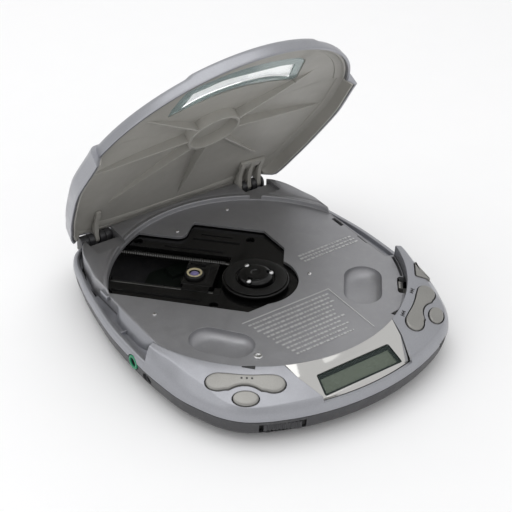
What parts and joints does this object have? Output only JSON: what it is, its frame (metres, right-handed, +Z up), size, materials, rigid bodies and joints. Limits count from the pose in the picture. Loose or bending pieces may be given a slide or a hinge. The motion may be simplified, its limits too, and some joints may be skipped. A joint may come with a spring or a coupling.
{
  "type": "portable disc player",
  "caption": "Portable disc player with its lid open: round disc well, spindle with clamp balls, pick-up on a slanted track, rocker keys and a small display in a chrome frame.",
  "frame": {"origin": "spindle axis where it meets the flat underside of the case", "axes": "+Z up out of the disc well, +Y towards the lid hinge, -Y towards the display, +X to the player's right"},
  "size_m": [0.1332, 0.1521, 0.1259],
  "materials": {
    "silver_paint": "satin metallic silver paint over moulded plastic",
    "deck_grey": "fine-textured metallic grey",
    "dark_plastic": "dark grey, slightly pearly",
    "liner_grey": "warm grey, satin",
    "black_plastic": "gloss black",
    "key_grey": "soft silver-grey",
    "chrome": "mirror plated plastic",
    "clear_plastic": "clear, faint teal tint",
    "lcd_glass": "grey-green display glass",
    "green_plastic": "green ring",
    "steel": "bright steel",
    "gold_plastic": "cream gold",
    "rubber": "matt black",
    "circuit_board": "green solder mask"
  },
  "bodies": {
    "base": {"bottom_case": "dark_plastic", "upper_shell": "silver_paint", "disc_deck": "deck_grey", "foot_front_left": "rubber", "foot_front_right": "rubber", "foot_rear_left": "rubber", "foot_rear_right": "rubber", "screw_front_left": "steel", "screw_front_right": "steel", "screw_rear_left": "steel", "screw_rear_right": "steel", "battery_contact_left": "steel", "battery_contact_right": "steel", "hinge_pin_left": "steel", "hinge_pin_right": "steel", "headphone_jack": "green_plastic", "dc_jack": "black_plastic", "lcd_bezel": "chrome", "lcd_window": "clear_plastic", "lcd_module": "lcd_glass", "key_board_left": "circuit_board", "key_board_right": "circuit_board", "mech_chassis": "black_plastic", "damper_1": "rubber", "damper_2": "rubber", "damper_3": "rubber", "guide_rod": "steel", "sled_motor": "steel", "spindle_motor": "steel", "main_board": "circuit_board"},
    "lid": {"lid_shell": "silver_paint", "lid_liner": "liner_grey", "lid_window": "clear_plastic", "lid_hinge_left": "liner_grey", "lid_hinge_right": "liner_grey"},
    "platter": {"turntable": "black_plastic", "disc_mat": "rubber", "spindle_hub": "black_plastic", "spindle_shaft": "steel"},
    "ball_1": {"clamp_ball_1": "steel"},
    "ball_2": {"clamp_ball_2": "steel"},
    "ball_3": {"clamp_ball_3": "steel"},
    "pickup": {"pickup_sled": "black_plastic"},
    "lens": {"lens_holder": "gold_plastic", "objective_lens": "clear_plastic"},
    "screw": {"lead_screw": "steel"},
    "volume_key": {"volume_rocker": "key_grey"},
    "skip_key": {"skip_rocker": "key_grey"},
    "mode_key": {"mode_button": "key_grey"},
    "stop_key": {"stop_button": "key_grey"},
    "open_key": {"open_button": "key_grey"},
    "latch": {"latch_hook": "key_grey"},
    "hold": {"hold_slider": "dark_plastic"},
    "switch": {"lid_switch": "black_plastic"},
    "door": {"battery_door": "dark_plastic"}
  },
  "joints": [
    {"name": "lid_hinge", "type": "hinge", "parent": "base", "child": "lid", "pos_m": [0, 0.0655, 0.0162], "axis": [1, 0, 0], "range_deg": [0, 55.8]},
    {"name": "platter_spin", "type": "hinge", "parent": "base", "child": "platter", "pos_m": [0, 0, 0.018], "axis": [0, 0, 1], "continuous": true},
    {"name": "ball_1_press", "type": "slide", "parent": "platter", "child": "ball_1", "axis": [0, -1, 0], "range_m": [0, 0.0007], "stiffness_N_per_m": 100},
    {"name": "ball_2_press", "type": "slide", "parent": "platter", "child": "ball_2", "axis": [0.866, 0.5, 0], "range_m": [0, 0.0007], "stiffness_N_per_m": 100},
    {"name": "ball_3_press", "type": "slide", "parent": "platter", "child": "ball_3", "axis": [-0.866, 0.5, 0], "range_m": [0, 0.0007], "stiffness_N_per_m": 100},
    {"name": "sled_travel", "type": "slide", "parent": "base", "child": "pickup", "axis": [-0.7071, 0.7071, 0], "range_m": [0, 0.03]},
    {"name": "screw_spin", "type": "hinge", "parent": "base", "child": "screw", "pos_m": [-0.00127, 0.02107, 0.013], "axis": [-0.7071, 0.7071, 0], "range_deg": [0, 2710]},
    {"name": "lens_focus", "type": "slide", "parent": "pickup", "child": "lens", "axis": [0, 0, 1], "range_m": [-0.0004, 0.0004], "stiffness_N_per_m": 60},
    {"name": "volume_rock", "type": "hinge", "parent": "base", "child": "volume_key", "pos_m": [-0.0432, -0.056, 0.01853], "axis": [-0.5747, -0.7663, -0.2873], "range_deg": [-2.5, 2.5], "stiffness_Nm_per_rad": 0.05},
    {"name": "skip_rock", "type": "hinge", "parent": "base", "child": "skip_key", "pos_m": [0.0432, -0.056, 0.01853], "axis": [0.5747, -0.7663, -0.2873], "range_deg": [-2.5, 2.5], "stiffness_Nm_per_rad": 0.05},
    {"name": "mode_press", "type": "slide", "parent": "base", "child": "mode_key", "axis": [0, 0, -1], "range_m": [0, 0.0005], "stiffness_N_per_m": 400},
    {"name": "stop_press", "type": "slide", "parent": "base", "child": "stop_key", "axis": [0, 0, -1], "range_m": [0, 0.0005], "stiffness_N_per_m": 400},
    {"name": "open_press", "type": "slide", "parent": "base", "child": "open_key", "axis": [0, 0, -1], "range_m": [0, 0.0008], "stiffness_N_per_m": 400},
    {"name": "latch_slide", "type": "slide", "parent": "base", "child": "latch", "axis": [0.7986, -0.6018, 0], "range_m": [0, 0.0012]},
    {"name": "hold_slide", "type": "slide", "parent": "base", "child": "hold", "axis": [0.908, -0.4191, 0], "range_m": [-0.0014, 0.0014]},
    {"name": "lid_switch_press", "type": "slide", "parent": "base", "child": "switch", "axis": [0, 0, -1], "range_m": [0, 0.0008], "stiffness_N_per_m": 150},
    {"name": "battery_door_slide", "type": "slide", "parent": "base", "child": "door", "axis": [0, 1, 0], "range_m": [0, 0.005]}
  ],
  "couplings": [
    {"joint": "screw_spin", "follows": "sled_travel", "rad_per_m": 1570.8},
    {"joint": "latch_slide", "follows": "open_press", "ratio": 1.5}
  ]
}
